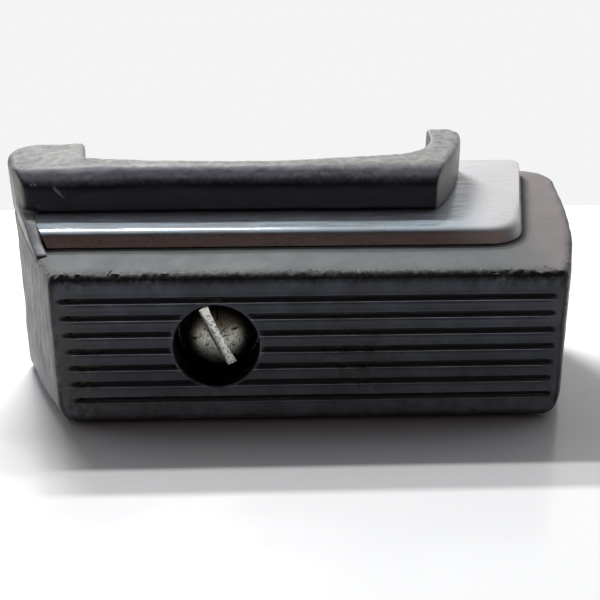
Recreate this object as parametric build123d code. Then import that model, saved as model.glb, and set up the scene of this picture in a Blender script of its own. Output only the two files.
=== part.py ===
from build123d import *
import math
import os

# A folding foot peg: a ribbed rubber block with a bright trim plate and a rubber top pad.
# The block is clamped by one recessed bolt to a cast carrier, and the carrier hinges in a
# clevis bracket that bolts to the frame.
#
# Millimetres. The pieces are laid out with X = 0 and Z = bolt_height on the clamp bolt's
# axis, Y = 0 on the ribbed face and Z = 0 on the underside, and are shifted on export so
# that the origin is the middle of the bracket's two frame bolts, on the bracket's rear face.
# +X runs along the ribs, +Y points inboard to the frame and +Z is up.

# ---- The block's outline, seen from above -------------------------------------------
face_left = -38.3           # left end of the ribbed face, at the shoulder
face_right = 83.5           # right end of the ribbed face, at the shoulder
left_reach = 19.6           # how far the left side stands out at its back end
left_bow = 1.2              # how far the left side bows out of a straight line
right_reach = 11.4          # how far the right side stands out at its back end
right_bow = 2.4             # how far the right side bows out of a straight line
left_depth = 47.2           # ribbed face to the back of the left leg
right_depth = 62.5          # ribbed face to the back of the right leg
back_corner_radius = 9.0    # right leg, inboard corner
left_corner_radius = 7.0    # left leg, outer inboard corner
left_draft = 3.6            # degrees, the left side leans out upwards
right_draft = 0.3           # degrees, the right side leans out upwards

# ---- The block's heights -------------------------------------------------------------
shoulder_height = 37.6      # underside to the top, at the ribbed face
slope = 12.0                # degrees, the top rises inboard
bottom_edge_radius = 5.0    # along the two sides of the underside
face_edge_radius = 2.5      # round the ribbed face

# ---- Ribbed face ---------------------------------------------------------------------
groove_count = 7
groove_pitch = 4.22
groove_width = 1.7
groove_depth = 1.3
top_groove_drop = 6.0       # shoulder to the top groove
groove_end_margin = 3.2     # from each end of the ribbed face

# ---- Arch that the carrier seats in ----------------------------------------------------
arch_radius = 225.0
arch_middle_x = 3.0
wall_at_arch = 31.8         # ribbed face to the arch, at the arch's middle
arch_left = -35.0
arch_right = 57.3
arch_corner_radius = 13.0
arch_splay = 1.8            # the arch's left wall runs out to the left by this

# ---- Trim plate -----------------------------------------------------------------------
trim_setback = 14.2         # ribbed face to the plate's front edge
trim_thickness = 4.05       # measured upright
trim_left_front = -43.1
trim_left_at_pad = -48.6    # where the plate's left end goes in under the pad
trim_left_back = -54.0
trim_left_depth = 46.2      # ribbed face to the back of the plate's left end
trim_left_step = 2.7        # the plate's left end is cut back by this under the pad
trim_step_depth = 1.0       # pad's front to that step
trim_right_front = 75.7
trim_right_back = 86.9
trim_right_depth = 60.8     # ribbed face to the back of the plate's right end
trim_corner_radius = 10.0
trim_edge_radius = 1.5

# ---- Top pad ---------------------------------------------------------------------------
pad_setback = 25.4          # ribbed face to the pad's front
pad_height = 11.0           # measured upright
pad_right_front = 56.0
pad_right_back = 67.2
pad_right_bow = 1.7         # how far the pad's right side bows out of a straight line
pad_horn_depth = 55.0       # ribbed face to the back of the pad's right horn
pad_horn_radius = 4.0       # horn's outer inboard corner
pad_edge_radius = 3.0
cheek_start = 18.0          # ribbed face to the front of the pad's flap over the plate's end

# ---- Clamp bolt, its seat and what it passes through -------------------------------------
bolt_height = 20.0
bolt_diameter = 8.0
bolt_length = 41.0          # under the head
bolt_hole_clearance = 0.4   # radial, in the core plate, sleeve and carrier
head_diameter = 16.0
head_rim_height = 5.0
head_dome_height = 2.0
head_recess = 7.0           # ribbed face to the head's rim
slot_width = 2.0
slot_depth = 2.6
slot_angle = 25.4           # degrees from upright
counterbore_diameter = 20.7
cup_washer_diameter = 19.6
cup_washer_thickness = 2.0
sleeve_wall = 2.2
nut_across_flats = 13.0
nut_height = 6.5
spring_washer_thickness = 2.2
spring_washer_diameter = 14.5
spring_washer_gap = 1.6

# ---- Core plate inside the block ---------------------------------------------------------
core_thickness = 3.0
core_left = -26.0
core_right = 70.0
core_low = 8.0
core_high = 32.0
core_corner_radius = 4.0

# ---- Pad core, its studs and their nuts ----------------------------------------------------
pad_core_thickness = 2.0
pad_core_lift = 3.0         # trim plate to the pad core, measured upright
pad_core_width = 7.0        # across the square plate under each end of the pad
stud_places = ((-42.5, 38.0), (53.0, 31.2))
stud_diameter = 4.0
stud_hole_clearance = 0.3   # radial, in the block and the trim plate
stud_nut_flats = 7.0
stud_nut_height = 3.2
stud_washer_diameter = 9.0
stud_washer_thickness = 0.8
stud_pocket_diameter = 10.0
stud_pocket_depth = 12.0
stud_end_gap = 2.0          # underside to the stud's end

# ---- Carrier -------------------------------------------------------------------------------
carrier_left = -32.0
carrier_right = 42.0
carrier_low = 4.0
carrier_high = 43.0
carrier_back = 42.0         # ribbed face to the web's flat back
carrier_corner_radius = 5.0
arm_inner = 9.5
arm_low = 6.0
heel_low = 10.0
heel_high = 21.0
heel_thickness = 7.0
dowel_diameter = 6.0
dowel_spacing = 44.0
dowel_depth = 7.0           # into the block

# ---- Hinge -----------------------------------------------------------------------------------
hinge_setback = 70.0        # ribbed face to the hinge's axis
hinge_height = 38.0
hinge_pin_diameter = 10.0
running_clearance = 0.05    # radial, pin in the bushes
barrel_diameter = 18.0
barrel_length = 28.0
bush_wall = 1.5
bush_length = 12.0
side_clearance = 0.3        # barrel to a friction washer
friction_washer_thickness = 1.0
friction_washer_diameter = 17.0
pin_head_diameter = 16.0
pin_head_thickness = 4.0
pin_tail = 8.0              # past the bracket's ear
pin_washer_thickness = 2.0
pin_washer_diameter = 18.0
split_pin_diameter = 2.4
split_pin_leg = 5.0         # past the hinge pin, below
split_pin_eye_radius = 1.9
split_pin_neck = 0.5        # hinge pin to the bottom of the split pin's eye

# ---- Bracket -----------------------------------------------------------------------------------
flange_setback = 100.0      # ribbed face to the flange's rear face
flange_thickness = 8.0
flange_width = 84.0
flange_height = 44.0
flange_corner_radius = 6.0
ear_thickness = 8.0
ear_radius = 9.5
ear_low = 6.0
ear_foot = 4.0              # how far the ear's top runs back down from the flange
ear_web = 7.0               # how far the ear's outline stands above the axis at the flange
frame_bolt_spacing = 62.0
frame_bolt_height = 22.0
frame_bolt_hole_diameter = 8.5

# ---- Stop pad ------------------------------------------------------------------------------------
stop_gap = 0.3              # heel to the stop pad
stop_pad_width = 22.0
stop_pad_margin = 1.0       # stop pad past the heel, above and below
stop_pad_radius = 2.0
stop_pad_thickness = 6.0
stop_screw_diameter = 5.0
stop_screw_head_diameter = 9.0
stop_screw_head_height = 2.5
stop_screw_depth = 6.0      # into the flange
stop_recess_margin = 1.0    # stop pad's face to the screw's head

# ---- Worked out ------------------------------------------------------------------------------------
far = 300.0                 # longer than anything here
overlap = 1.0               # by which cuts and joined pieces run into each other
bolt_seat = head_recess + head_rim_height
core_front = bolt_seat + cup_washer_thickness
core_back = core_front + core_thickness
hole_radius = bolt_diameter / 2 + bolt_hole_clearance
ear_inner = barrel_length / 2 + side_clearance + friction_washer_thickness
ear_outer = ear_inner + ear_thickness
flange_front = flange_setback - flange_thickness
ear_turn = math.atan2(hinge_height - ear_low, flange_front - hinge_setback) / 1.5
stop_face = flange_front - stop_pad_thickness
heel_back = stop_face - stop_gap
heel_middle = (heel_low + heel_high) / 2
inside_arch = arch_left + 4     # a place that the arch takes away in every outline
origin = (0, flange_setback, frame_bolt_height)


def span(x0, x1, y0, y1, z0, z1):
    """A box between two opposite corners."""
    middle = Pos((x0 + x1) / 2, (y0 + y1) / 2, (z0 + z1) / 2)
    return middle * Box(x1 - x0, y1 - y0, z1 - z0)


def rod(diameter, start, length, axis):
    """A cylinder that runs from start along +X, +Y or +Z."""
    turns = {"X": Rotation(0, 90, 0), "Y": Rotation(-90, 0, 0), "Z": Rotation(0, 0, 0)}
    upright = Cylinder(diameter / 2, length, align=(Align.CENTER, Align.CENTER, Align.MIN))
    return Pos(*start) * turns[axis] * upright


def ring(outer, inner, start, length, axis):
    """A tube or washer that runs from start along an axis."""
    return rod(outer, start, length, axis) - rod(inner, start, length, axis)


def hexagon(flats, start, length, axis):
    """A hexagonal prism that runs from start along +Y or +Z."""
    turn = Rotation(-90, 0, 0) if axis == "Y" else Rotation(0, 0, 0)
    outline = RegularPolygon(flats / math.sqrt(3), 6)
    return Pos(*start) * turn * extrude(outline, length, dir=(0, 0, 1))


def prism(outline):
    """A plan outline as a solid that reaches far above and below."""
    return extrude(Pos(0, 0, -far) * outline, 2 * far, dir=(0, 0, 1))


def slab(low, high):
    """The space between two planes that rise inboard, by their heights over the block's top."""
    thickness = (high - low) * math.cos(math.radians(slope))
    plate = Box(2 * far, 2 * far, thickness, align=(Align.CENTER, Align.CENTER, Align.MIN))
    return Pos(0, 0, shoulder_height + low) * Rotation(slope, 0, 0) * plate


def leaning(outline, pivot_x, draft):
    """A plan outline as a prism that leans outwards by a draft angle above the shoulder."""
    pivot = Pos(pivot_x, 0, shoulder_height)
    return pivot * Rotation(0, draft, 0) * pivot.inverse() * prism(outline)


def bowed(start, end, bow):
    """An arc between two places that stands out to the right of the way from start to end."""
    way = Vector(*end) - Vector(*start)
    out = Vector(way.Y, -way.X).normalized() * bow
    middle = (Vector(*start) + Vector(*end)) * 0.5 + out
    return ThreePointArc(start, (middle.X, middle.Y), end)


def rounded(outline, place, radius):
    """An outline with the corner nearest to a place rounded."""
    corner = outline.vertices().sort_by_distance((*place, 0))[0]
    return fillet(corner, radius)


def left_side():
    """Everything to the right of the block's bowed left side, up to the left leg's back."""
    side_end = (face_left - left_reach, left_depth)
    edges = Curve() + [
        bowed(side_end, (face_left, 0), left_bow),
        Line((face_left, 0), (far, 0)),
        Line((far, 0), (far, far)),
        Line((far, far), (inside_arch, far)),
        Line((inside_arch, far), (inside_arch, left_depth)),
        Line((inside_arch, left_depth), side_end),
    ]
    outline = rounded(make_face(edges), side_end, left_corner_radius)
    return leaning(outline, face_left, -left_draft)


def right_side():
    """Everything to the left of the block's bowed right side, up to the right leg's back."""
    side_end = (face_right + right_reach, right_depth - back_corner_radius)
    corner_start = (side_end[0] - back_corner_radius, right_depth)
    edges = Curve() + [
        Line((-far, 0), (face_right, 0)),
        bowed((face_right, 0), side_end, right_bow),
        TangentArc(side_end, corner_start, tangent=(0, 1)),
        Line(corner_start, (-far, right_depth)),
        Line((-far, right_depth), (-far, 0)),
    ]
    outline = make_face(edges)
    return leaning(outline, face_right, right_draft)


def arch_outline():
    """The arch, seen from above: a shallow arc with a square left end and a round right one."""
    def arc_depth(x):
        drop = math.sqrt(arch_radius ** 2 - (x - arch_middle_x) ** 2)
        return wall_at_arch + arch_radius - drop

    left = (arch_left, arc_depth(arch_left))
    right = (arch_right, arc_depth(arch_right))
    leg_back = (arch_left - arch_splay, left_depth)
    edges = Curve() + [
        ThreePointArc(left, (arch_middle_x, wall_at_arch), right),
        Line(right, (arch_right, far)),
        Line((arch_right, far), (leg_back[0], far)),
        Line((leg_back[0], far), leg_back),
        Line(leg_back, left),
    ]
    return rounded(make_face(edges), right, arch_corner_radius)


def bolt_way(diameter, start, length):
    """A cylinder on the clamp bolt's axis."""
    return rod(diameter, (0, start, bolt_height), length, "Y")


def grooves():
    """The long grooves of the ribbed face."""
    cuts = Part()
    for row in range(groove_count):
        height = shoulder_height - top_groove_drop - row * groove_pitch
        cuts += span(
            face_left + groove_end_margin, face_right - groove_end_margin,
            -groove_depth, groove_depth,
            height - groove_width / 2, height + groove_width / 2,
        )
    return cuts


def core_space():
    """The core plate's place in the block."""
    plate = span(core_left, core_right, core_front, core_back, core_low, core_high)
    return fillet(plate.edges().filter_by(Axis.Y), core_corner_radius)


def core_plate():
    """Steel plate moulded into the block, which the bolt's head pulls on."""
    return core_space() - bolt_way(2 * hole_radius, 0, far)


def crush_sleeve():
    """Steel tube between the core plate and the carrier."""
    outer = 2 * (hole_radius + sleeve_wall)
    tube = bolt_way(outer, core_back, carrier_back - core_back)
    return tube - bolt_way(2 * hole_radius, 0, far) - prism(arch_outline())


def dowel_centres():
    """Places of the locating dowels along X."""
    return (-dowel_spacing / 2, dowel_spacing / 2)


def locating_dowels():
    """Two pins pressed into the carrier, which keep the block from turning on its bolt."""
    start = wall_at_arch - dowel_depth
    length = carrier_back - start
    return [rod(dowel_diameter, (x, start, bolt_height), length, "Y") for x in dowel_centres()]


def stud_axes(diameter, low, high):
    """Upright cylinders at the pad's studs."""
    return [rod(diameter, (x, y, low), high - low, "Z") for x, y in stud_places]


def block_body():
    """The rubber block's outer shape, before its holes."""
    body = left_side() & right_side() & span(-far, far, 0, far, 0, far) & slab(-far, 0)
    underside = body.faces().sort_by(Axis.Z)[0].edges()
    sides = [underside.sort_by(Axis.X)[0], underside.sort_by(Axis.X)[-1]]
    body = fillet(sides, bottom_edge_radius)
    front = body.faces().filter_by(Axis.Y).sort_by(Axis.Y)[0]
    body = fillet(front.edges(), face_edge_radius)
    return body - prism(arch_outline())


def tread_block():
    """Rubber block with the ribbed face and the bolt's counterbore."""
    block = block_body() - grooves()
    block -= bolt_way(counterbore_diameter, -overlap, core_front + overlap)
    block -= bolt_way(2 * (hole_radius + sleeve_wall), 0, far)
    block -= core_space()
    block -= locating_dowels()
    block -= stud_axes(stud_diameter + 2 * stud_hole_clearance, -overlap, far)
    return block - stud_axes(stud_pocket_diameter, -overlap, stud_pocket_depth)


def trim_outline():
    """The trim plate seen from above, with its left end cut back under the pad."""
    step = pad_setback + trim_step_depth
    front_right = (trim_right_front, trim_setback)
    corners = [
        (trim_left_front, trim_setback),
        front_right,
        (trim_right_back, trim_right_depth),
        (inside_arch, trim_right_depth),
        (inside_arch, trim_left_depth),
        (trim_left_back + trim_left_step, trim_left_depth),
        (trim_left_at_pad + trim_left_step, step),
        (trim_left_at_pad, step),
    ]
    outline = make_face(Polyline(*corners, close=True))
    return rounded(outline, front_right, trim_corner_radius)


def trim_plate():
    """Bright plate between the block and the top pad."""
    plate = prism(trim_outline()) & slab(0, trim_thickness)
    rim = plate.faces().sort_by(Axis.Y)[0].edges().sort_by(Axis.Z)[-1]
    plate = fillet(rim, trim_edge_radius)
    plate -= prism(arch_outline())
    return plate - stud_axes(stud_diameter + 2 * stud_hole_clearance, 0, far)


def pad_outline():
    """The top pad seen from above, past the block on the left."""
    front_right = (pad_right_front, pad_setback)
    back_right = (pad_right_back, pad_horn_depth)
    edges = Curve() + [
        Line((-far, pad_setback), front_right),
        bowed(front_right, back_right, pad_right_bow),
        Line(back_right, (-far, pad_horn_depth)),
        Line((-far, pad_horn_depth), (-far, pad_setback)),
    ]
    return rounded(make_face(edges), back_right, pad_horn_radius)


def cheek():
    """The pad's flap, which wraps down over the trim plate's left end to the block."""
    space = span(-far, arch_left, cheek_start, left_depth, 0, far)
    return (space & left_side() & slab(0, trim_thickness)) - prism(trim_outline())


def pad_core():
    """Two steel plates moulded into the pad's ends, which its studs stand on."""
    low = trim_thickness + pad_core_lift
    plate = slab(low, low + pad_core_thickness)
    half = pad_core_width / 2
    return [plate & span(x - half, x + half, y - half, y + half, 0, far) for x, y in stud_places]


def pad_studs():
    """Studs welded under the pad cores, down through the trim plate and the block."""
    studs = stud_axes(stud_diameter, stud_end_gap, far)
    return [stud & slab(-far, trim_thickness + pad_core_lift) for stud in studs]


def top_pad():
    """Rubber pad with a rolled front edge, a square left end and a raised right horn."""
    pad = prism(pad_outline()) & left_side() & slab(trim_thickness, trim_thickness + pad_height)
    front = pad.faces().sort_by(Axis.Y)[0]
    pad = fillet(front.edges().sort_by(Axis.Z)[-1], pad_edge_radius)
    pad = pad + cheek() - prism(arch_outline())
    return pad - pad_core() - pad_studs()


def stud_seat():
    """Height of the seat of each stud's washer, in the block's underside."""
    return stud_pocket_depth - stud_washer_thickness


def stud_washers():
    """Plain washers in the underside's pockets."""
    bores = stud_axes(stud_diameter, 0, far)
    discs = stud_axes(stud_washer_diameter, stud_seat(), stud_pocket_depth)
    return [disc - bore for disc, bore in zip(discs, bores)]


def stud_nuts():
    """Nuts that pull the pad and the trim plate down on the block."""
    low = stud_seat() - stud_nut_height
    nuts = [hexagon(stud_nut_flats, (x, y, low), stud_nut_height, "Z") for x, y in stud_places]
    return [nut - bore for nut, bore in zip(nuts, stud_axes(stud_diameter, 0, far))]


def clamp_bolt():
    """Slotted bolt with a domed head, deep in the counterbore."""
    head = bolt_way(head_diameter, head_recess, head_rim_height)
    half = head_diameter / 2
    dome_radius = (half ** 2 + head_dome_height ** 2) / (2 * head_dome_height)
    centre = head_recess - head_dome_height + dome_radius
    dome = Pos(0, centre, bolt_height) * Sphere(dome_radius)
    head += dome & bolt_way(head_diameter, head_recess - head_dome_height, head_dome_height)
    slot = Box(slot_width, 2 * slot_depth, head_diameter + overlap)
    tip = head_recess - head_dome_height
    head -= Pos(0, tip, bolt_height) * Rotation(0, -slot_angle, 0) * slot
    return head + bolt_way(bolt_diameter, bolt_seat, bolt_length)


def cup_washer():
    """Washer between the bolt's head and the core plate."""
    disc = bolt_way(cup_washer_diameter, bolt_seat, cup_washer_thickness)
    return disc - bolt_way(bolt_diameter, 0, far)


def spring_washer():
    """Split spring washer behind the carrier."""
    disc = bolt_way(spring_washer_diameter, carrier_back, spring_washer_thickness)
    disc -= bolt_way(bolt_diameter, 0, far)
    half = spring_washer_gap / 2
    top = bolt_height + spring_washer_diameter
    return disc - span(-half, half, 0, far, bolt_height, top)


def clamp_nut():
    """Nut that pulls the block against the carrier."""
    start = carrier_back + spring_washer_thickness
    nut = hexagon(nut_across_flats, (0, start, bolt_height), nut_height, "Y")
    return nut - bolt_way(bolt_diameter, 0, far)


def hinge_rod(diameter, start, length):
    """A cylinder on the hinge's axis."""
    return rod(diameter, (start, hinge_setback, hinge_height), length, "X")


def arm_outline():
    """Side view of the carrier's arms, from the web to the hinge and the heel."""
    barrel = barrel_diameter / 2
    corners = [
        (carrier_back - overlap, arm_low),
        (hinge_setback + barrel, arm_low),
        (heel_back, heel_low),
        (heel_back, heel_high),
        (hinge_setback + barrel, hinge_height),
        (hinge_setback, hinge_height + barrel),
        (carrier_back - overlap, carrier_high),
    ]
    return make_face(Plane.YZ * Polyline(*corners, close=True))


def carrier():
    """Cast carrier: a curved web in the arch, two arms, a hinge barrel and a stop heel."""
    web = prism(arch_outline()) & span(
        carrier_left, carrier_right, 0, carrier_back, carrier_low, carrier_high)
    web = fillet(web.edges().filter_by(Axis.Y), carrier_corner_radius)
    side = barrel_length / 2
    arms = extrude(Pos(-side, 0, 0) * arm_outline(), barrel_length, dir=(1, 0, 0))
    hollow_back = heel_back - heel_thickness
    arms -= span(-arm_inner, arm_inner, carrier_back, hollow_back, 0, hinge_height)
    above_nut = span(-arm_inner, arm_inner, carrier_back, hinge_setback, 0, far)
    body = web + (arms - above_nut) + hinge_rod(barrel_diameter, -side, barrel_length)
    body -= hinge_rod(hinge_pin_diameter + 2 * (running_clearance + bush_wall), -far, 2 * far)
    body -= bolt_way(2 * hole_radius, 0, carrier_back + overlap)
    return body - locating_dowels()


def hinge_bushes():
    """Plain bushes in the two ends of the carrier's barrel."""
    inner = hinge_pin_diameter + 2 * running_clearance
    outer = inner + 2 * bush_wall
    tube = hinge_rod(outer, 0, bush_length) - hinge_rod(inner, 0, bush_length)
    side = barrel_length / 2
    return [Pos(-side, 0, 0) * tube, Pos(side - bush_length, 0, 0) * tube]


def friction_washers():
    """Washers against the bracket's ears, which hold the peg where it is folded to."""
    disc = hinge_rod(friction_washer_diameter, 0, friction_washer_thickness)
    disc -= hinge_rod(hinge_pin_diameter, 0, friction_washer_thickness)
    return [Pos(-ear_inner, 0, 0) * disc, Pos(ear_inner - friction_washer_thickness, 0, 0) * disc]


def split_pin_place():
    """Where the split pin crosses the hinge pin, along X."""
    return ear_outer + pin_washer_thickness + split_pin_diameter / 2


def hinge_pin():
    """Headed hinge pin with a cross hole in its tail."""
    pin = hinge_rod(hinge_pin_diameter, -ear_outer, 2 * ear_outer + pin_tail)
    pin += hinge_rod(pin_head_diameter, -ear_outer - pin_head_thickness, pin_head_thickness)
    start = (split_pin_place(), hinge_setback, 0)
    return pin - rod(split_pin_diameter, start, far, "Z")


def pin_washer():
    """Washer between the bracket's ear and the split pin."""
    disc = hinge_rod(pin_washer_diameter, ear_outer, pin_washer_thickness)
    return disc - hinge_rod(hinge_pin_diameter, 0, far)


def split_pin():
    """Split pin with a round eye on top."""
    x = split_pin_place()
    low = hinge_height - hinge_pin_diameter / 2 - split_pin_leg
    high = hinge_height + hinge_pin_diameter / 2 + split_pin_neck
    leg = rod(split_pin_diameter, (x, hinge_setback, low), high - low, "Z")
    eye = Torus(split_pin_eye_radius, split_pin_diameter / 4)
    eye_height = high + split_pin_eye_radius
    return leg + Pos(x, hinge_setback, eye_height) * Rotation(0, 90, 0) * eye


def ear_outline():
    """Side view of a bracket ear, without its round end."""
    corners = [
        (flange_front + overlap, ear_low),
        (flange_front + overlap, flange_height),
        (flange_front - ear_foot, hinge_height + ear_web),
        (hinge_setback, hinge_height + ear_radius),
        (hinge_setback - math.sin(ear_turn) * ear_radius,
         hinge_height - math.cos(ear_turn) * ear_radius),
    ]
    return make_face(Plane.YZ * Polyline(*corners, close=True))


def hinge_bracket():
    """Cast bracket: a flange for the frame and two ears for the hinge pin."""
    half = flange_width / 2
    body = span(-half, half, flange_front, flange_setback, 0, flange_height)
    body = fillet(body.edges().filter_by(Axis.Y), flange_corner_radius)
    for side in (-ear_outer, ear_inner):
        body += extrude(Pos(side, 0, 0) * ear_outline(), ear_thickness, dir=(1, 0, 0))
        body += hinge_rod(2 * ear_radius, side, ear_thickness)
    body -= hinge_rod(hinge_pin_diameter, -far, 2 * far)
    for x in (-frame_bolt_spacing / 2, frame_bolt_spacing / 2):
        body -= rod(frame_bolt_hole_diameter, (x, 0, frame_bolt_height), far, "Y")
    return body - stop_screw_shank()


def stop_screw_shank():
    """The stop screw's shank, from its head into the flange."""
    start = stop_face + stop_recess_margin + stop_screw_head_height
    length = flange_front + stop_screw_depth - start
    return rod(stop_screw_diameter, (0, start, heel_middle), length, "Y")


def stop_screw_head():
    """The stop screw's head, sunk in the stop pad."""
    start = (0, stop_face + stop_recess_margin, heel_middle)
    return rod(stop_screw_head_diameter, start, stop_screw_head_height, "Y")


def stop_screw():
    """Screw that holds the stop pad."""
    return stop_screw_head() + stop_screw_shank()


def stop_pad():
    """Rubber buffer that the carrier's heel rests on when the peg is down."""
    half = stop_pad_width / 2
    low, high = heel_low - stop_pad_margin, heel_high + stop_pad_margin
    pad = span(-half, half, stop_face, flange_front, low, high)
    pad = fillet(pad.edges().filter_by(Axis.Y), stop_pad_radius)
    length = stop_face + stop_recess_margin + stop_screw_head_height
    recess = rod(stop_screw_head_diameter, (0, 0, heel_middle), length, "Y")
    return pad - recess - stop_screw_shank()


def as_part(pieces):
    """One shape from a single solid or from a group of separate ones."""
    if isinstance(pieces, list):
        return Compound(children=[piece.solids()[0] for piece in pieces])
    return pieces


nodes = {
    "hinge_bracket": hinge_bracket,
    "hinge_pin": hinge_pin,
    "pin_washer": pin_washer,
    "split_pin": split_pin,
    "friction_washers": friction_washers,
    "stop_pad": stop_pad,
    "stop_screw": stop_screw,
    "tread_block": tread_block,
    "trim_plate": trim_plate,
    "top_pad": top_pad,
    "core_plate": core_plate,
    "pad_core": pad_core,
    "pad_studs": pad_studs,
    "stud_washers": stud_washers,
    "stud_nuts": stud_nuts,
    "crush_sleeve": crush_sleeve,
    "clamp_bolt": clamp_bolt,
    "cup_washer": cup_washer,
    "spring_washer": spring_washer,
    "clamp_nut": clamp_nut,
    "carrier": carrier,
    "locating_dowels": locating_dowels,
    "hinge_bushes": hinge_bushes,
}

os.makedirs("parts", exist_ok=True)
to_origin = Pos(*origin).inverse()
for name, build in nodes.items():
    export_step(to_origin * as_part(build()), f"parts/{name}.step")
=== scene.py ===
"""Folding foot peg: the looks of its rubber block, bright trim, top pad, bolt and hinge."""
import math

import bpy
from bpy.props import FloatProperty, FloatVectorProperty, IntProperty, PointerProperty
from mathutils import Euler, Matrix, Vector, noise


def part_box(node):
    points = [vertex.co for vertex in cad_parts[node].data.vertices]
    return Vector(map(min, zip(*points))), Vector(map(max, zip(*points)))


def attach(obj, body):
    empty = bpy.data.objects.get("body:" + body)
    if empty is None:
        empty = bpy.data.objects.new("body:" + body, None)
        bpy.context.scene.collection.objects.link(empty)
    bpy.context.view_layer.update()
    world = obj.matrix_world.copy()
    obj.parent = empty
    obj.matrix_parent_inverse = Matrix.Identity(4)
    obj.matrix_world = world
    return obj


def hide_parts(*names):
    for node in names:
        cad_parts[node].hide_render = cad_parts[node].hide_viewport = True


bl_info = {
    "name": "Folding Foot Peg",
    "version": (1, 0, 0),
    "blender": (4, 5, 0),
    "location": "3D View > Sidebar > Foot Peg",
    "description": "Builds a worn rubber foot peg around its CAD frame",
    "category": "Object",
}

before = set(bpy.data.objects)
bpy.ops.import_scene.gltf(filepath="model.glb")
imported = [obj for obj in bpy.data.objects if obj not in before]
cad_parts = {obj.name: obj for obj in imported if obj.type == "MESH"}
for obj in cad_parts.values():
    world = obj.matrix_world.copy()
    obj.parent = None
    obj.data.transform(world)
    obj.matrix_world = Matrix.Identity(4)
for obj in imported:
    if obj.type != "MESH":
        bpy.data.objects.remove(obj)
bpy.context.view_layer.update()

MM = 0.001
block_low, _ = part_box("tread_block")
bolt_low, bolt_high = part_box("clamp_bolt")
CENTRE_X = (bolt_low.x + bolt_high.x) / 2      # the clamp bolt's axis
FACE_Y = block_low.y                           # the ribbed face
FLOOR_Z = block_low.z                          # the underside
BOLT_Z = (bolt_low.z + bolt_high.z) / 2
SLOPE = math.radians(12)                       # the top rises inboard
SHOULDER = 37.6                                # height of the block's top at the ribbed face


def at(x, y, z):
    """A place given in millimetres from the bolt's axis, the ribbed face and the underside."""
    return Vector((CENTRE_X + x * MM, FACE_Y + y * MM, FLOOR_Z + z * MM))


def top_at(y):
    """Height of the block's sloped top at a depth behind the ribbed face, in millimetres."""
    return SHOULDER + math.tan(SLOPE) * y


def smooth_step(low, high, value):
    """0 below low, 1 above high and an even curve between."""
    share = min(max((value - low) / (high - low), 0), 1)
    return share * share * (3 - 2 * share)


# ---- Sizes and colours that a user would change ----------------------------------------------


def length(name, description, millimetres):
    """A length property with its default in millimetres."""
    return FloatProperty(
        name=name, description=description, default=millimetres * MM, unit="LENGTH", precision=5)


def colour(name, description, value):
    """A colour property."""
    return FloatVectorProperty(
        name=name, description=description, default=value, subtype="COLOR", min=0, max=1)


class PegSizes(bpy.types.PropertyGroup):
    """Sizes of the rubber and of the bright plate."""

    groove_count: IntProperty(name="Grooves", description="Grooves in the face", default=7)
    groove_pitch: length("Groove pitch", "From one groove to the next", 4.22)
    groove_depth: length("Groove depth", "Depth of each groove", 1.25)
    top_groove: length("Top groove", "Height of the top groove over the underside", 31.6)
    lip: length("Rib lip", "How far the bead along each rib's upper edge stands out", 0.14)
    face_edge: length("Face edge", "Radius along the top and bottom of the ribbed face", 2.4)
    side_edge: length("Side edge", "Radius along the underside of the block's two sides", 5.0)
    pad_edge: length("Pad edge", "Radius along the pad's rolled front", 5.0)
    trim_edge: length("Trim edge", "Radius along the bright plate's front", 1.7)
    bore: length("Counterbore", "Radius of the hole over the clamp bolt", 10.35)
    sag: length("Rubber unevenness", "How far the old rubber strays from true", 0.16)


class PegColours(bpy.types.PropertyGroup):
    """Colours of the finishes."""

    rubber: colour("Block rubber", "Clean rubber of the block", (0.062, 0.069, 0.088))
    pad_rubber: colour("Pad rubber", "Clean rubber of the pad", (0.0045, 0.005, 0.012))
    dust: colour("Dust", "Dust on the tops", (0.145, 0.158, 0.158))
    pale_dust: colour("Pale dust", "Dust on the pad", (0.40, 0.39, 0.37))
    brown: colour("Scuffed edge", "Dry, torn rubber at the edges", (0.40, 0.37, 0.32))
    stain: colour("Stain", "Brown stain on the ribs", (0.055, 0.036, 0.028))
    bright: colour("Bright plate", "Polished trim", (0.64, 0.76, 0.86))
    nickel: colour("Nickel", "Plating of the clamp bolt", (0.62, 0.62, 0.55))
    tarnish: colour("Tarnish", "Brown tarnish on the clamp bolt", (0.20, 0.13, 0.08))
    black_paint: colour("Black paint", "Paint on the castings", (0.018, 0.018, 0.020))
    table: colour("Table", "The table under the peg", (0.86, 0.865, 0.87))


class PegView(bpy.types.PropertyGroup):
    """Where the peg is looked at from."""

    lens: FloatProperty(name="Lens", description="Focal length in millimetres", default=54.0)
    pitch: FloatProperty(
        name="Pitch", description="How far down the camera looks", default=math.radians(18.0),
        subtype="ANGLE")
    yaw: FloatProperty(
        name="Yaw", description="How far right the camera looks", default=math.radians(1.91),
        subtype="ANGLE")


def sizes():
    return bpy.context.scene.peg_sizes


def colours():
    return bpy.context.scene.peg_colours


# ---- Outlines, seen from above, in millimetres -----------------------------------------------


def bowed(start, end, bow, count):
    """Points from start up to, but not at, end on an arc that stands out to the right."""
    start, end = Vector(start), Vector(end)
    chord = end - start
    out = Vector((chord.y, -chord.x)).normalized()
    radius = (chord.length ** 2 / 4 + bow ** 2) / (2 * bow)
    centre = (start + end) / 2 + out * (bow - radius)
    sweep = 2 * math.asin(chord.length / 2 / radius)
    first = start - centre
    points = []
    for step in range(count):
        turn = Matrix.Rotation(sweep * step / count, 2)
        points.append(centre + turn @ first)
    return points


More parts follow.
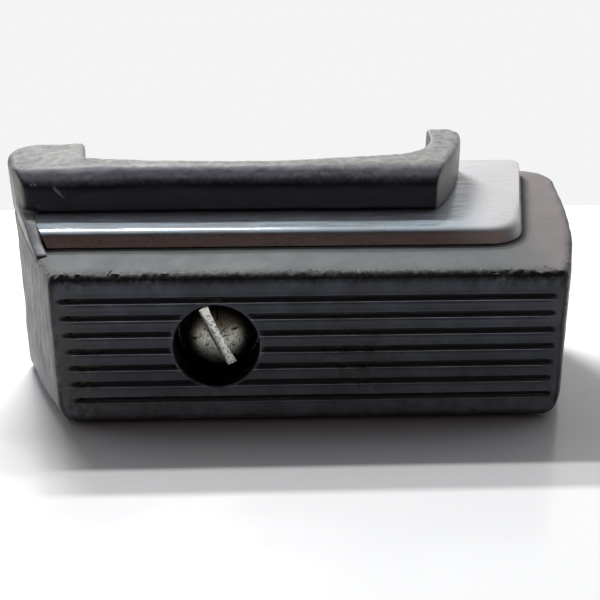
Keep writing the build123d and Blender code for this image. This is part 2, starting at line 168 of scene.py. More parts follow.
def rounded(before, place, after, radius, count=8):
    """Points round a corner from the way in to the way out."""
    before, place, after = Vector(before), Vector(place), Vector(after)
    way_in = (before - place).normalized()
    way_out = (after - place).normalized()
    half = way_in.angle(way_out) / 2
    reach = radius / math.tan(half)
    centre = place + (way_in + way_out).normalized() * (radius / math.sin(half))
    first = place + way_in * reach - centre
    last = place + way_out * reach - centre
    turn = first.angle_signed(last)
    return [centre + Matrix.Rotation(-turn * step / count, 2) @ first for step in range(count + 1)]


FACE_LEFT, FACE_RIGHT = -38.3, 83.5            # the ribbed face's two ends
LEFT_BACK = (-57.9, 47.2)
RIGHT_BACK = (94.9, 62.5)
PAD_FRONT, PAD_BACK = 25.4, 55.0               # the ribbed face to the pad's front and back
PAD_LIFT = 15.1                                # the pad's top over the block's top
TRIM_FRONT, TRIM_BACK = 14.2, 60.8             # the ribbed face to the bright plate's two sides
TRIM_LIFT, TRIM_GAP = 4.0, 0.3                 # the plate's top, and the shadow gap under it
LEG_BACK = (-36.8, 46.9)                       # the arch's left wall splays to here
ARCH_LEFT, ARCH_RIGHT = -35.0, 57.3
ARCH_MIDDLE, ARCH_WALL = 3.0, 31.8             # where the arch comes nearest the ribbed face
ARCH_RADIUS, ARCH_CORNER = 225.0, 13.0
FACE_SLANT = math.radians(3.6)                 # of the ribbed face's left edge
SIDE_LEAN = math.radians(2.2)                  # of the left side above the block's top
LIP_DROP = 0.74                                # a groove's middle to the pale lip under it


def arch_points(back):
    """The arch from its right wall, at a depth, to its square left end."""
    centre_y = ARCH_WALL + ARCH_RADIUS
    corner_x = ARCH_RIGHT - ARCH_CORNER
    off_middle = corner_x - ARCH_MIDDLE
    corner_y = centre_y - math.sqrt((ARCH_RADIUS - ARCH_CORNER) ** 2 - off_middle ** 2)
    tilt = math.atan2(off_middle, centre_y - corner_y)
    points = [(ARCH_RIGHT, back)]
    for step in range(11):
        angle = -(math.pi / 2 - tilt) * step / 10
        points.append((
            corner_x + ARCH_CORNER * math.cos(angle), corner_y + ARCH_CORNER * math.sin(angle)))
    last = math.asin((ARCH_LEFT - ARCH_MIDDLE) / ARCH_RADIUS)
    for step in range(1, 25):
        angle = tilt + (last - tilt) * step / 24
        points.append((
            ARCH_MIDDLE + ARCH_RADIUS * math.sin(angle),
            centre_y - ARCH_RADIUS * math.cos(angle)))
    return points


def left_side_points():
    """The left leg's back, its corner and the bowed left side."""
    side = [point for point in bowed(LEFT_BACK, (FACE_LEFT, 0), 1.2, 18) if point[1] < 45]
    corner = rounded(LEG_BACK, LEFT_BACK, side[0], 7.0, 8)
    return [LEG_BACK] + corner + [point for point in side if point[1] < corner[-1][1] - 0.5]


def block_outline():
    """The rubber block."""
    back = (ARCH_RIGHT, RIGHT_BACK[1])
    side_end = (RIGHT_BACK[0], RIGHT_BACK[1] - 8.5)
    right = bowed((FACE_RIGHT, 0), side_end, 2.6, 20)
    corner = rounded(side_end, RIGHT_BACK, back, 8.4)
    return [(FACE_LEFT, 0)] + right + corner + arch_points(RIGHT_BACK[1]) + left_side_points()


def trim_outline():
    """The bright plate, with its left end set in under the pad."""
    front_left, front_right, back = (-43.1, TRIM_FRONT), (75.7, TRIM_FRONT), (86.9, TRIM_BACK)
    right = rounded(front_left, front_right, back, 10.0, 10)
    corner = rounded(front_right, back, (ARCH_RIGHT, TRIM_BACK), 2.4, 5)
    left = [(-36.0, 45.0), (-51.0, 45.0), (-45.9, 26.4), (-48.6, 26.4)]
    return [front_left] + right + corner + arch_points(TRIM_BACK) + left


def pad_outline():
    """The top pad."""
    front, end = (56.0, PAD_FRONT), (67.2, PAD_BACK)
    side = bowed(front, end, 1.7, 12)
    corner = rounded(side[-1], end, (ARCH_RIGHT, PAD_BACK), 4.0, 6)
    side = [point for point in side if point[1] < corner[0][1] - 0.5]
    left = [point for point in left_side_points() if point[1] > 30.0]
    near = rounded(left[-1], (-48.4, PAD_FRONT), front, 3.4, 7)
    return near + side + corner + arch_points(PAD_BACK) + left


# ---- Modelling -------------------------------------------------------------------------------


def clear_selection():
    bpy.ops.object.select_all(action="DESELECT")


def select_only(piece):
    clear_selection()
    piece.select_set(True)
    bpy.context.view_layer.objects.active = piece


def start_edit(piece):
    """Edit mode by faces with everything selected."""
    select_only(piece)
    bpy.ops.object.mode_set(mode="EDIT")
    bpy.ops.mesh.select_mode(type="FACE")
    bpy.ops.mesh.select_all(action="SELECT")


def end_edit():
    """Back to object mode."""
    bpy.ops.object.mode_set(mode="OBJECT")


def settle(piece):
    """Puts a piece's place, turn and size into its mesh."""
    select_only(piece)
    bpy.ops.object.transform_apply(location=True, rotation=True, scale=True)


def outline_solid(name, outline, low, high):
    """A solid on a plan outline, from one height to another."""
    clear_selection()
    bpy.ops.mesh.primitive_circle_add(vertices=len(outline), radius=MM, fill_type="NGON")
    piece = bpy.context.object
    piece.name = name
    for vertex, place in zip(piece.data.vertices, outline):
        vertex.co = at(place[0], place[1], low)
    start_edit(piece)
    bpy.ops.mesh.extrude_region_move(
        TRANSFORM_OT_translate={"value": (0, 0, (high - low) * MM)})
    bpy.ops.mesh.select_all(action="SELECT")
    bpy.ops.mesh.normals_make_consistent(inside=False)
    end_edit()
    piece.location = (0, 0, 0)
    return piece


def cut_sloped(piece, lift, keep_below, steeper=0.0):
    """Cuts a piece along a plane that rises inboard, at a height over the block's top."""
    slope = SLOPE + steeper
    normal = Vector((0, -math.sin(slope), math.cos(slope)))
    start_edit(piece)
    bpy.ops.mesh.bisect(
        plane_co=at(0, 0, SHOULDER + lift), plane_no=normal, use_fill=True,
        clear_outer=keep_below, clear_inner=not keep_below)
    end_edit()


def divide(piece, axis, places, deepest=1000):
    """Adds a row of edges at each place along an axis, on faces no deeper than a limit."""
    normal = Vector((0, 0, 0))
    normal["XYZ".index(axis)] = 1
    limit = at(0, deepest, 0).y
    for face in piece.data.polygons:
        face.select = face.center.y > limit
    select_only(piece)
    bpy.ops.object.mode_set(mode="EDIT")
    bpy.ops.mesh.select_mode(type="FACE")
    bpy.ops.mesh.hide(unselected=False)
    for place in places:
        bpy.ops.mesh.select_all(action="SELECT")
        bpy.ops.mesh.bisect(plane_co=at(place, place, place), plane_no=normal)
    bpy.ops.mesh.reveal(select=False)
    end_edit()


def steps(low, high, gap):
    """Evenly spaced places between two limits."""
    count = max(int(round((high - low) / gap)), 1)
    return [low + (high - low) * number / count for number in range(1, count)]


def modify(piece, kind, **settings):
    """Adds a modifier and applies it."""
    select_only(piece)
    modifier = piece.modifiers.new(kind.title(), kind)
    for key, value in settings.items():
        setattr(modifier, key, value)
    bpy.ops.object.modifier_apply(modifier=modifier.name)


def ease_edges(piece, radius_of, segments=4):
    """Rounds edges, each by the radius in millimetres that a function of its ends gives."""
    mesh = piece.data
    weights = mesh.attributes.new("bevel_weight_edge", "FLOAT", "EDGE")
    radii = []
    for edge in mesh.edges:
        ends = [(mesh.vertices[index].co - at(0, 0, 0)) / MM for index in edge.vertices]
        radii.append(radius_of(*ends))
    widest = max(radii)
    for index, radius in enumerate(radii):
        weights.data[index].value = radius / widest
    modify(
        piece, "BEVEL", width=widest * MM, segments=segments, limit_method="WEIGHT",
        use_clamp_overlap=False, miter_outer="MITER_ARC")


def combine(piece, other, operation):
    """Joins another solid to a piece, or cuts it away, and removes that solid."""
    modify(piece, "BOOLEAN", operation=operation, object=other, solver="EXACT")
    bpy.data.objects.remove(other, do_unlink=True)


def take_away(piece, cutter):
    """Cuts the cutter's shape out of a piece and removes the cutter."""
    combine(piece, cutter, "DIFFERENCE")


def move_vertices(piece, move):
    """Moves each vertex by a function of its place and normal, in millimetres."""
    origin = at(0, 0, 0)
    normals = [vertex.normal.copy() for vertex in piece.data.vertices]
    for vertex, normal in zip(piece.data.vertices, normals):
        place = (vertex.co - origin) / MM
        vertex.co = origin + move(place, normal) * MM
    piece.data.update()


def rolled_front(place, _normal):
    """Rolls the pad's upper front edge over."""
    radius = sizes().pad_edge / MM
    behind = radius - (place.y - PAD_FRONT)
    rise = radius - (top_at(place.y) + PAD_LIFT - place.z)
    reach = math.hypot(behind, rise)
    if behind <= 0 or rise <= 0 or reach <= radius:
        return place
    share = 1 - radius / reach
    return place + Vector((0, behind * share, -rise * share))


def lean(place, _normal):
    """Leans the left side outwards above the shoulder, as the mould's draft does."""
    legs = smooth_step(25, 34, place.y)
    inner = -20 + legs * -15.5
    reach = 18 - legs * 12
    left = min(max((inner - place.x) / reach, 0), 1)
    rise = max(place.z - SHOULDER, 0)
    return place - left * Vector((rise * math.tan(SIDE_LEAN), 0, 0.025 * rise))


def drawn_in(place, _normal):
    """Draws the block's front, foot and right side in, so that its beads stay inside its size."""
    front = 0.35 * (1 - place.y / RIGHT_BACK[1])
    foot = 0.22 * (1 - place.z / SHOULDER)
    right = 0.15 * smooth_step(50, 90, place.x)
    return place + Vector((-right, front, foot))


def roughen(size, amount, share=lambda place: 1.0, seed=0.0):
    """A vertex move along the normal by soft noise."""
    offset = Vector((seed, seed * 1.7, -seed))

    def move(place, normal):
        wave = noise.noise(place / size + offset) + 0.5 * noise.noise(place / size * 2.1 - offset)
        return place + normal * (wave * amount * share(place))

    return move


def smooth(piece, degrees=35):
    select_only(piece)
    bpy.ops.object.shade_smooth_by_angle(angle=math.radians(degrees))


def finish(piece, material, slot, body, *replaced):
    """Gives a finished piece its material, its body and the CAD nodes that it stands for."""
    piece.data.materials.clear()
    piece.data.materials.append(material)
    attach(piece, body)
    if replaced:
        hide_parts(*replaced)


def drum(name, radius, start, end, sides=64):
    """A cylinder along Y between two depths, round the clamp bolt's axis."""
    clear_selection()
    middle = at(0, (start + end) / 2, 0)
    middle.z = BOLT_Z
    bpy.ops.mesh.primitive_cylinder_add(
        vertices=sides, radius=radius * MM, depth=(end - start) * MM, location=middle,
        rotation=(math.pi / 2, 0, 0))
    piece = bpy.context.object
    piece.name = name
    settle(piece)
    return piece


def edit_front(piece):
    """Edit mode after picking the faces that look to the front, and the bolt's axis there."""
    for face in piece.data.polygons:
        face.select = face.normal.y < -0.9
    select_only(piece)
    bpy.ops.object.mode_set(mode="EDIT")
    return Vector((CENTRE_X, FACE_Y, BOLT_Z))


# ---- Materials -------------------------------------------------------------------------------


class Finish:
    """A material with a principled shader, built up node by node."""

    def __init__(self, name, roughness=0.5, metallic=0.0, specular=0.5):
        self.material = bpy.data.materials.new(name)
        self.material.use_nodes = True
        self.tree = self.material.node_tree
        self.shader = self.tree.nodes["Principled BSDF"]
        self.shader.inputs["Roughness"].default_value = roughness
        self.shader.inputs["Metallic"].default_value = metallic
        self.shader.inputs["Specular IOR Level"].default_value = specular
        texture = self.tree.nodes.new("ShaderNodeTexCoord")
        self.place = texture.outputs["Object"]
        self.axes = self.node("ShaderNodeSeparateXYZ", Vector=texture.outputs["Normal"]).outputs
        self.where = self.node("ShaderNodeSeparateXYZ", Vector=self.place).outputs
        self.colour = None

    def node(self, kind, settings=None, **inputs):
        """A node with its settings, and with inputs that are sockets or plain values."""
        made = self.tree.nodes.new(kind)
        for key, value in (settings or {}).items():
            setattr(made, key, value)
        for key, value in inputs.items():
            self.put(made.inputs[key.replace("_", " ")], value)
        return made

    def put(self, socket, value):
        """Joins a socket to another, or sets its value."""
        if isinstance(value, bpy.types.NodeSocket):
            self.tree.links.new(value, socket)
        elif socket.type == "RGBA" and len(value) == 3:
            socket.default_value = (*value, 1)
        else:
            socket.default_value = value

    def sum(self, operation, *values):
        """A sum on up to three numbers or sockets."""
        made = self.tree.nodes.new("ShaderNodeMath")
        made.operation = operation
        for socket, value in zip(made.inputs, values):
            self.put(socket, value)
        return made.outputs[0]

    def times(self, first, *others):
        """Shares multiplied together."""
        for other in others:
            first = self.sum("MULTIPLY", first, other)
        return first

    def ramp(self, value, low, high, start=0.0, end=1.0):
        """A value eased from one range into another, and held at its ends."""
        made = self.node(
            "ShaderNodeMapRange", {"interpolation_type": "SMOOTHSTEP"},
            Value=value, From_Min=low, From_Max=high, To_Min=start, To_Max=end)
        return made.outputs[0]

    def along(self, axis, low, high):
        """0 before one place along an axis and 1 after another, in millimetres."""
        index = "XYZ".index(axis)
        return self.ramp(self.where[axis], at(low, low, low)[index], at(high, high, high)[index])

    def facing(self, axis, low, high, start=0.0, end=1.0):
        """A share by how far the surface faces along an axis."""
        return self.ramp(self.axes[axis], low, high, start, end)

    def from_bolt_axis(self):
        """How far a place is from the clamp bolt's axis, in metres."""
        flat = self.node("ShaderNodeCombineXYZ", X=self.where["X"], Z=self.where["Z"])
        away = self.node(
            "ShaderNodeVectorMath", {"operation": "DISTANCE"}, Vector=flat.outputs[0])
        away.inputs[1].default_value = (CENTRE_X, 0, BOLT_Z)
        return away.outputs["Value"]

    def grain(self, millimetres, detail=3.0, stretch=(1, 1, 1), turn=(0, 0, 0), roughness=0.55):
        """Noise with features so many millimetres across, drawn out along its own axes."""
        place = self.node(
            "ShaderNodeMapping", {"vector_type": "TEXTURE"}, Vector=self.place, Scale=stretch,
            Rotation=turn)
        made = self.node(
            "ShaderNodeTexNoise", Vector=place.outputs[0], Scale=1 / (millimetres * MM),
            Detail=detail, Roughness=roughness)
        return made.outputs["Fac"]

    def spot(self, place, reach):
        """A share that is 1 at a place and falls to 0 at a reach, both in millimetres."""
        away = self.node(
            "ShaderNodeVectorMath", {"operation": "SUBTRACT"}, Vector=self.place)
        away.inputs[1].default_value = at(*place)
        scaled = self.node(
            "ShaderNodeVectorMath", {"operation": "MULTIPLY"}, Vector=away.outputs[0])
        scaled.inputs[1].default_value = [1 / (size * MM) for size in reach]
        size = self.node(
            "ShaderNodeVectorMath", {"operation": "LENGTH"}, Vector=scaled.outputs[0])
        return self.ramp(size.outputs["Value"], 1.0, 0.25)

    def mix(self, share, first, second):
        """A colour between two, by a share."""
        made = self.tree.nodes.new("ShaderNodeMix")
        made.data_type = "RGBA"
        self.put(made.inputs["Factor"], share)
        self.put(made.inputs[6], first)
        self.put(made.inputs[7], second)
        return made.outputs[2]

    def ground(self, tone, strength, share):
        """Starts the colour off as a tone that turns lighter or darker by a share."""
        self.colour = self.mix(share, tone, [part * strength for part in tone])

    def lay(self, tone, *shares):
        """Lays a tone over the colour so far, where every share is high."""
        self.colour = self.mix(self.times(*shares), self.colour, tone)

    def bump(self, height, millimetres, strength=1.0):
        """Fine relief, over any bump already there."""
        made = self.node(
            "ShaderNodeBump", Height=height, Distance=millimetres * MM, Strength=strength)
        old = self.shader.inputs["Normal"]
        if old.is_linked:
            self.put(made.inputs["Normal"], old.links[0].from_socket)
        self.put(old, made.outputs[0])

    def end(self, roughness=None):
        """Sets the colour and roughness, and gives the material."""
        self.put(self.shader.inputs["Base Color"], self.colour)
        if roughness is not None:
            self.put(self.shader.inputs["Roughness"], roughness)
        return self.material


def edge_share(look):
    """1 where the top begins to turn down into the ribbed face."""
    out = look.times(look.axes["Y"], -1.0)
    return look.times(look.ramp(out, 0.22, 0.42), look.ramp(out, 0.97, 0.75))


def groove_shades(look):
    """Paints shade into the floors of the grooves and the counterbore, and pales the ribs' upper
    lips.
    """
    facing = look.facing("Y", -0.4, -0.8)
    # Painted shade: near-black on the recessed, front-facing floors of the grooves.
    painted_floor_shade = look.times(facing, look.along("Y", 0.2, 0.8), look.along("Y", 2.6, 2.2))
    look.lay((0.002, 0.002, 0.003), painted_floor_shade)
    pitch = sizes().groove_pitch
    first = at(0, 0, sizes().top_groove / MM - LIP_DROP).z + pitch / 2
    below = look.sum("SUBTRACT", first, look.where["Z"])
    share = look.sum("FRACT", look.sum("DIVIDE", below, pitch))
    off = look.times(look.sum("ABSOLUTE", look.sum("SUBTRACT", share, 0.5)), pitch / MM)
    band = look.times(
        look.ramp(off, 0.17, 0.06), look.along("X", -37, -33), look.along("X", 81, 77),
        look.along("Z", 32, 31.4))
    uneven = look.ramp(look.grain(1.6, 4, (6, 1, 1)), 0.25, 0.7, 0.35, 1.0)
    look.lay((0.50, 0.50, 0.58), band, facing, uneven)
    # Painted shade: near-black on the counterbore's walls, deep inside the hole.
    inside = look.ramp(look.from_bolt_axis(), 10.52 * MM, 10.40 * MM)
    look.lay((0.0015, 0.0015, 0.002), inside, look.along("Y", 0.3, 1.0))


def block_rubber():
    """Old blue-black rubber: dusty on top, dry and torn along its upper edge, stained below and
    paler towards the bottom, with painted shade in its grooves and counterbore.
    """
    tint = colours()
    look = Finish("block_rubber", roughness=0.55, specular=0.42)
    cloud = look.grain(9, 4)
    speck = look.grain(0.55, 4, roughness=0.7)
    blotch = look.grain(2.6, 5)
    look.ground(tint.rubber, 1.7, look.ramp(cloud, 0.35, 0.7))
    look.lay((0.09, 0.10, 0.11), look.ramp(speck, 0.62, 0.72, 0, 0.5))
    top = look.facing("Z", 0.22, 0.95)
    look.lay(tint.dust, top, look.ramp(blotch, 0.2, 0.62, 0.72, 1.0))
    fleck = look.ramp(look.grain(0.8, 5, roughness=0.75), 0.66, 0.72, 0, 0.7)
    look.lay((0.5, 0.49, 0.46), fleck, top)
    look.lay((0.225, 0.205, 0.20), look.along("X", 66, 88), top)
    streak = look.ramp(look.grain(1.4, 6, (1, 1, 5), roughness=0.7), 0.36, 0.62, 0.1, 1.0)
    look.lay((0.33, 0.315, 0.285), look.facing("X", -0.45, -0.8), streak)
    look.lay((0.10, 0.095, 0.09), look.facing("X", 0.6, 0.95, 0, 0.6))
    # Paler towards the bottom of the block, in blotches.
    pale_low_blotch = look.ramp(blotch, 0.3, 0.6, 0.6, 1.0)
    look.lay((0.40, 0.42, 0.46), look.along("Z", 14, 0), pale_low_blotch, 0.7)
    shoulder = look.along("Z", 33.4, 36.2)
    edge = edge_share(look)
    torn = look.ramp(look.grain(0.7, 6, roughness=0.8), 0.5, 0.58)
    patchy = look.ramp(look.grain(14, 3), 0.38, 0.62, 0.15, 1.0)
    torn = look.times(torn, edge, patchy, shoulder)
    look.lay(tint.brown, torn)
    crack = look.ramp(look.grain(0.9, 5, (1.6, 1, 1), roughness=0.75), 0.44, 0.38)
    look.lay((0.006, 0.006, 0.008), crack, edge, shoulder, 0.85)
    groove_shades(look)
    stain = look.spot((33, 0, 16), (16, 20, 17))
    look.lay(tint.stain, stain, look.ramp(blotch, 0.42, 0.62), 0.7)
    grime = look.ramp(look.grain(1.6, 5), 0.4, 0.6, 0, 0.8)
    look.lay((0.085, 0.070, 0.052), look.spot((-34, 0, 14), (9, 12, 26)), grime)
    look.bump(look.grain(0.35, 3), 0.05, 0.6)
    look.bump(look.grain(2.2, 4), 0.14, 0.5)
    look.bump(torn, 0.12, 0.7)
    return look.end(look.sum("ADD", look.ramp(cloud, 0.3, 0.7, 0.46, 0.6), look.times(top, 0.3)))


def pad_rubber():
    """Glossier navy-black rubber with a painted sheen on its rolled front, pale dust on top and
    scratches at its left.
    """
    tint = colours()
    look = Finish("pad_rubber", roughness=0.4, specular=0.3)
    up = look.axes["Z"]
    wander = look.ramp(look.grain(1.3, 5, roughness=0.7), 0.3, 0.7, -0.05, 0.05)
    ragged = look.sum("ADD", up, wander)
    cloud = look.grain(7, 4, (2, 1, 1))
    look.ground(tint.pad_rubber, 2.0, look.ramp(cloud, 0.4, 0.7))
    fleck = look.ramp(look.grain(0.5, 4, roughness=0.75), 0.68, 0.73, 0, 0.8)
    look.lay((0.10, 0.10, 0.11), fleck)
    # Painted sheen: a bluish-grey highlight over the rolled front, growing towards the top.
    look.lay((0.36, 0.375, 0.43), look.sum("POWER", look.ramp(ragged, 0.0, 0.78), 2.2))
    patches = look.ramp(look.grain(2, 6, roughness=0.7), 0.2, 0.8)
    look.lay(look.mix(patches, tint.pale_dust, tint.dust), look.ramp(ragged, 0.66, 0.98))
    crumbs = look.ramp(look.grain(0.9, 6, roughness=0.8), 0.56, 0.63)
    ridge = look.times(look.ramp(up, 0.35, 0.6), look.ramp(up, 0.95, 0.8))
    look.lay((0.62, 0.53, 0.42), crumbs, ridge, look.spot((40, 30, 58), (30, 20, 14)))
    look.lay((0.27, 0.265, 0.25), look.facing("X", 0.25, 0.6), 0.85)
    grime = look.ramp(look.grain(4, 5), 0.25, 0.65, 0.5, 0.95)
    look.lay((0.15, 0.14, 0.12), look.facing("X", -0.35, -0.75), grime)
    line = look.grain(0.5, 1, (18, 1, 1), (0, math.radians(42), 0))
    scratch = look.times(look.ramp(line, 0.66, 0.70), look.spot((-43, 25, 55), (10, 6, 8)))
    look.lay((0.42, 0.42, 0.43), scratch)
    look.bump(look.grain(0.4, 3), 0.04, 0.5)
    look.bump(look.grain(3.0, 4), 0.12, 0.5)
    look.bump(scratch, 0.08, -0.5)
    rough = look.ramp(cloud, 0.3, 0.7, 0.30, 0.42)
    return look.end(look.sum("ADD", rough, look.ramp(up, 0.8, 0.98, 0, 0.4)))


def bright_plate():
    """Polished plate: hazy wipe marks along its top, a dull right end and a painted brown
    reflection on its front.
    """
    look = Finish("bright_plate", roughness=0.14, metallic=0.8)
    bloom = look.grain(7, 5)
    smear = look.ramp(look.grain(0.8, 5, (14, 1, 1), roughness=0.7), 0.35, 0.68)
    pit = look.ramp(look.grain(0.45, 4, roughness=0.8), 0.68, 0.74)
    dull = look.along("X", 52, 74)
    look.colour = colours().bright
    look.lay((0.60, 0.60, 0.585), look.ramp(bloom, 0.35, 0.7, 0, 0.45))
    look.lay((0.30, 0.28, 0.26), pit, 0.6)
    look.lay((0.60, 0.565, 0.555), dull, 0.8)
    # Painted reflection: a brown and pink tint on the front faces, standing in for the room in
    # front.
    painted_brown_reflection = look.mix(look.ramp(bloom, 0.35, 0.65), (1.0, 0.80, 0.72), (0.92, 0.80, 0.78))
    look.lay(painted_brown_reflection, look.facing("Y", -0.8, -0.97))
    haze = look.times(look.facing("Z", 0.6, 0.9), look.ramp(smear, 0, 1, 0.62, 0.95))
    haze = look.sum("MAXIMUM", haze, look.times(dull, 0.55))
    look.put(look.shader.inputs["Metallic"], look.sum("SUBTRACT", 0.97, haze))
    rough = look.sum("ADD", look.ramp(smear, 0, 1, 0.13, 0.18), look.times(dull, 0.12))
    return look.end(look.sum("ADD", rough, look.facing("Z", 0.97, 0.85, 0, 0.14)))


def tarnished_nickel():
    """Nickel plate with brown and green-grey tarnish and small pits, with painted shade in its
    slot's walls and towards its rim.
    """
    tint = colours()
    look = Finish("tarnished_nickel", roughness=0.3, metallic=1.0)
    cloud = look.grain(3.5, 5)
    speck = look.grain(0.7, 5, roughness=0.85)
    look.colour = tint.nickel
    look.lay((0.36, 0.37, 0.27), look.ramp(cloud, 0.45, 0.7, 0, 0.6))
    look.lay(tint.tarnish, look.along("Z", 20.5, 26), 0.75)
    look.lay((0.10, 0.09, 0.06), look.ramp(speck, 0.52, 0.60))
    # Painted shade: the head grows darker towards its rim, deep in the counterbore.
    look.lay((0.015, 0.012, 0.008), look.ramp(look.from_bolt_axis(), 4.6 * MM, 7.7 * MM, 0, 0.95))
    worn = look.mix(look.ramp(speck, 0.5, 0.58, 0, 0.85), (1.0, 1.0, 0.95), (0.26, 0.26, 0.22))
    look.lay(worn, look.along("Y", 7.4, 7.5))
    # Painted shade on the faces turned away from the front, such as the slot's walls.
    look.lay((0.01, 0.01, 0.008), look.facing("Y", -0.45, -0.25))
    look.bump(speck, 0.035, 0.7)
    look.bump(look.grain(1.2, 3), 0.03, 0.4)
    return look.end(look.ramp(speck, 0.35, 0.65, 0.26, 0.5))


def black_casting():
    """Black paint over a rough casting, with rusty chips and dust on top."""
    look = Finish("black_casting", roughness=0.45, specular=0.5)
    cloud = look.grain(8, 4)
    rust = look.ramp(look.grain(2.2, 6, roughness=0.75), 0.6, 0.68)
    look.ground(colours().black_paint, 2.2, look.ramp(cloud, 0.35, 0.7))
    look.lay((0.11, 0.048, 0.022), rust)
    dust = look.ramp(cloud, 0.25, 0.6, 0.2, 0.6)
    look.lay((0.17, 0.165, 0.155), look.facing("Z", 0.5, 0.95), dust)
    look.bump(look.grain(0.8, 4), 0.10, 0.7)
    look.bump(rust, 0.05, -0.5)
    return look.end(look.sum("ADD", 0.38, look.times(rust, 0.4)))


def steel(name, tone, turned=False):
    """Plated or bare steel with light tarnish; turned parts show fine rings."""
    look = Finish(name, roughness=0.35, metallic=1.0)
    cloud = look.grain(2.5, 5)
    speck = look.ramp(look.grain(0.4, 4, roughness=0.8), 0.6, 0.68)
    look.ground(tone, 0.62, look.ramp(cloud, 0.4, 0.7))
    look.lay((0.16, 0.10, 0.06), speck, 0.7)
    rings = look.grain(0.5, 3, (1, 20, 20) if turned else (1, 1, 1))
    look.bump(rings, 0.02, 0.5)
    return look.end(look.ramp(cloud, 0.3, 0.7, 0.25, 0.5))


def plain_rubber():
    """Clean moulded rubber of the stop pad."""
    look = Finish("stop_rubber", roughness=0.6, specular=0.4)
    cloud = look.grain(3, 4)
    look.colour = (0.02, 0.02, 0.02)
    look.lay((0.05, 0.048, 0.045), look.ramp(cloud, 0.35, 0.7))
    look.bump(look.grain(0.5, 3), 0.05, 0.6)
    return look.end(look.ramp(cloud, 0.3, 0.7, 0.5, 0.75))


def torn_rubber():
    """Brown, dried-out rubber of the torn tongue."""
    look = Finish("torn_rubber", roughness=0.8, specular=0.3)
    look.colour = (0.06, 0.035, 0.025)
    look.lay((0.24, 0.16, 0.11), look.ramp(look.grain(0.6, 4), 0.35, 0.65))
    look.bump(look.grain(0.4, 3), 0.08, 0.7)
    return look.end()


def table_top():
    """Pale glossy table with a few fine scratches and specks."""
    look = Finish("table_top", roughness=0.2, specular=0.5)
    line = look.grain(1.0, 2, (40, 1, 1), (0, 0, math.radians(24)))
    speck = look.grain(1.1, 3, roughness=0.8)
    look.colour = colours().table
    look.lay((0.35, 0.33, 0.32), look.ramp(line, 0.70, 0.72, 0, 0.10))
    look.lay((0.5, 0.48, 0.45), look.ramp(speck, 0.74, 0.77, 0, 0.25))
    return look.end(look.ramp(look.grain(30, 3), 0.3, 0.7, 0.14, 0.24))


# ---- Pieces ----------------------------------------------------------------------------------


def groove_profile(offset):
    """Depth of the ribbed face at a height from a groove's middle, in millimetres."""
    deep = sizes().groove_depth / MM
    lip = sizes().lip / MM
    cut = deep * smooth_step(0.74, 0.5, offset) * smooth_step(-0.64, -0.5, offset)
    bead = lip * smooth_step(-0.56, -0.66, offset) * smooth_step(-0.98, -0.86, offset)
    upper = 0.5 * lip * smooth_step(0.74, 0.9, offset) * smooth_step(1.3, 1.1, offset)
    hollow = 0.8 * lip * smooth_step(-0.96, -1.08, offset) * smooth_step(-1.4, -1.26, offset)
    return cut + hollow - bead - upper


GROOVE_ROWS = (1.34, 1.18, 1.04, 0.9, 0.76, 0.66, 0.56, 0.48, 0.0, -0.42, -0.5, -0.57, -0.65,
               -0.77, -0.9, -1.02, -1.16, -1.32, -1.5, -1.9)


def grooves(place, normal):
    """Sinks the ribbed face's grooves, which run out to points near its two ends."""
    if place.y > 0.5 or normal.y > -0.75:
        return place
    count = sizes().groove_count
    pitch = sizes().groove_pitch / MM
    top = sizes().top_groove / MM
    row = min(max(round((top - place.z) / pitch), 0), count - 1)
    offset = place.z - (top - row * pitch)
    wander = 0.5 * noise.noise(Vector((row * 7.3, 0.4, 2.0)))
    left = FACE_LEFT + (SHOULDER - place.z) * math.tan(FACE_SLANT) + 0.9 + wander
    right = FACE_RIGHT - 1.9 + wander
    run_in = min((place.x - left) / 3.4, (right - place.x) / 2.0)
    share = min(max(run_in * 1.25 - 0.45 * abs(offset), 0), 1)
    from_bore = math.hypot(place.x, place.z - 20.0) - sizes().bore / MM
    share *= smooth_step(0.35, 1.3, from_bore)
    collar = 0.22 * smooth_step(1.1, 0.3, from_bore)
    return place + Vector((0, groove_profile(offset) * share - collar, 0))


def block_radius(first, second):
    """How far each edge of the block's plain shape is rounded."""
    middle = (first + second) / 2
    upright = abs(first.z - second.z) > 20
    front = middle.y < 0.1
    at_side = middle.x < FACE_LEFT - 0.2 or middle.x > FACE_RIGHT + 0.2
    if upright:
        if front:
            return 1.7
        sharp = abs(middle.x - ARCH_LEFT) < 0.1 or abs(middle.x - ARCH_RIGHT) < 0.1
        return 0.9 if sharp and middle.y > 40 else 0.0
    if front:
        return sizes().face_edge / MM
    in_arch = ARCH_LEFT - 0.1 < middle.x < ARCH_RIGHT + 0.1
    if in_arch:
        return 0.8
    if middle.z < 1:
        limit = 36 if middle.x < 0 else 44
        return sizes().side_edge / MM if at_side and middle.y < limit else 2.4
    if middle.y > 50 or (at_side and middle.x < 0 and middle.y > 11):
        return 0.5
    return 2.2 if at_side else 1.2


def worn_pad_edge(place):
    """More wear along the pad's upper edges than on its faces."""
    lift = place.z - top_at(place.y)
    return 0.5 + 1.2 * smooth_step(10.5, 14, lift)


def counterbore_cutter():
    """Cutter for the counterbore, with a flared mouth."""
    cutter = drum("cutter", sizes().bore / MM, 0.5, 14.0, 128)
    start_edit(cutter)
    bpy.ops.mesh.select_all(action="DESELECT")
    end_edit()
    centre = edit_front(cutter)
    for growth, travel in ((1.012, 0.25), (1.03, 0.25), (1.02, 1.2)):
        bpy.ops.mesh.extrude_region_move(TRANSFORM_OT_translate={"value": (0, -travel * MM, 0)})
        bpy.ops.transform.resize(value=(growth, 1, growth), center_override=centre)
    end_edit()
    return cutter


